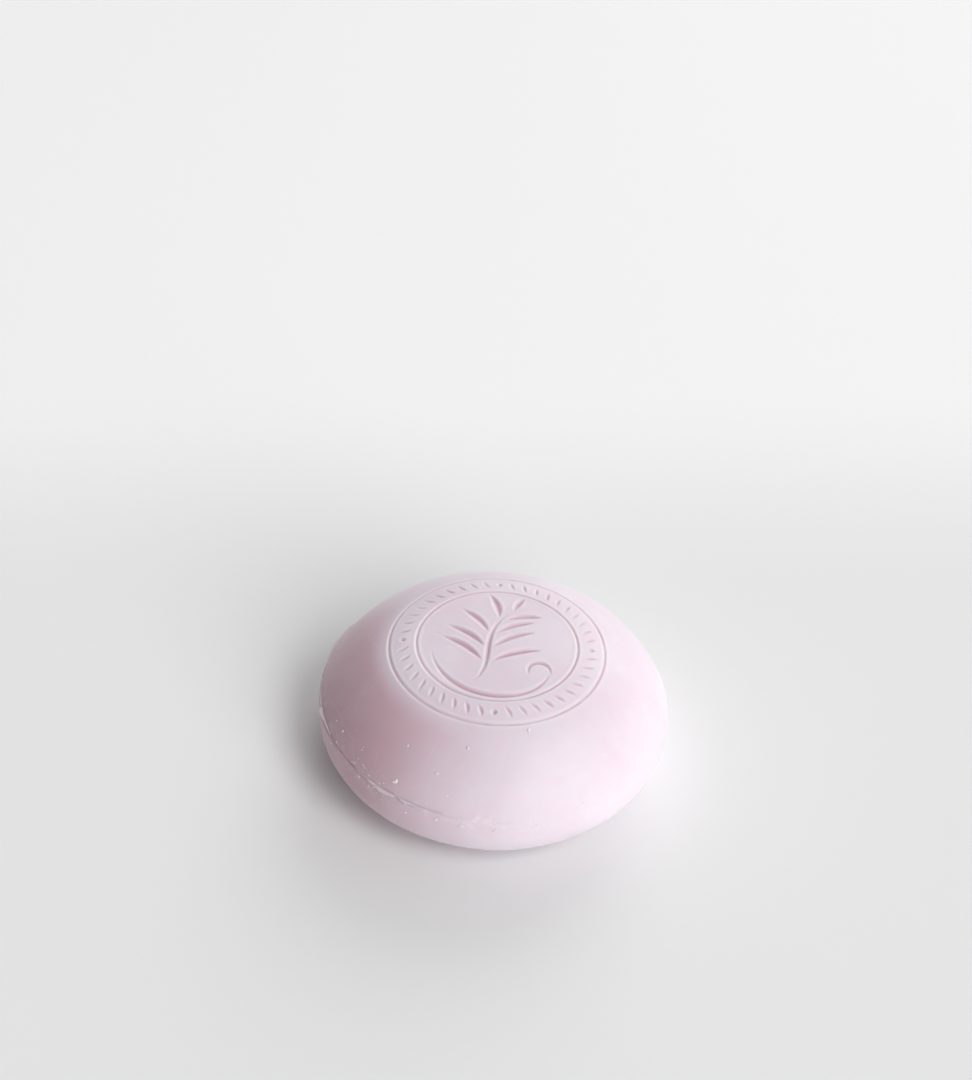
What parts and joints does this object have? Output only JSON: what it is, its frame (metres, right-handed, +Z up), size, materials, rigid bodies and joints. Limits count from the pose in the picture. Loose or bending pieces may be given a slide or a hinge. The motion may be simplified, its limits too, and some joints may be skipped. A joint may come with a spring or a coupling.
{
  "type": "shaving soap puck",
  "caption": "Domed round hard soap bar with two incised rings, a leaf-marked band and a sprig stamped in its face, with die-line web and crumbs.",
  "frame": {"origin": "centre of the flat foot on the underside, on the surface that the puck rests on", "axes": "+Z up along the puck's axis of revolution, out of the stamped face; +Y towards the top of the stamped sprig; +X to its right"},
  "size_m": [0.0773, 0.0776, 0.0306],
  "materials": {
    "pressed_soap": "pale lilac-pink hard-milled soap, satin, slightly translucent",
    "soap_web": "thin torn soap web, paler and more translucent than the block",
    "soap_crumb": "dry crumbled soap, matt"
  },
  "bodies": {
    "root": {"soap_block": "pressed_soap", "web_rear_left": "soap_web", "web_left": "soap_web", "web_front_left": "soap_web", "crumb_01": "soap_crumb", "crumb_02": "soap_crumb", "crumb_03": "soap_crumb", "crumb_04": "soap_crumb", "crumb_05": "soap_crumb", "crumb_06": "soap_crumb", "crumb_07": "soap_crumb", "crumb_08": "soap_crumb", "crumb_09": "soap_crumb", "crumb_10": "soap_crumb"}
  },
  "joints": []
}
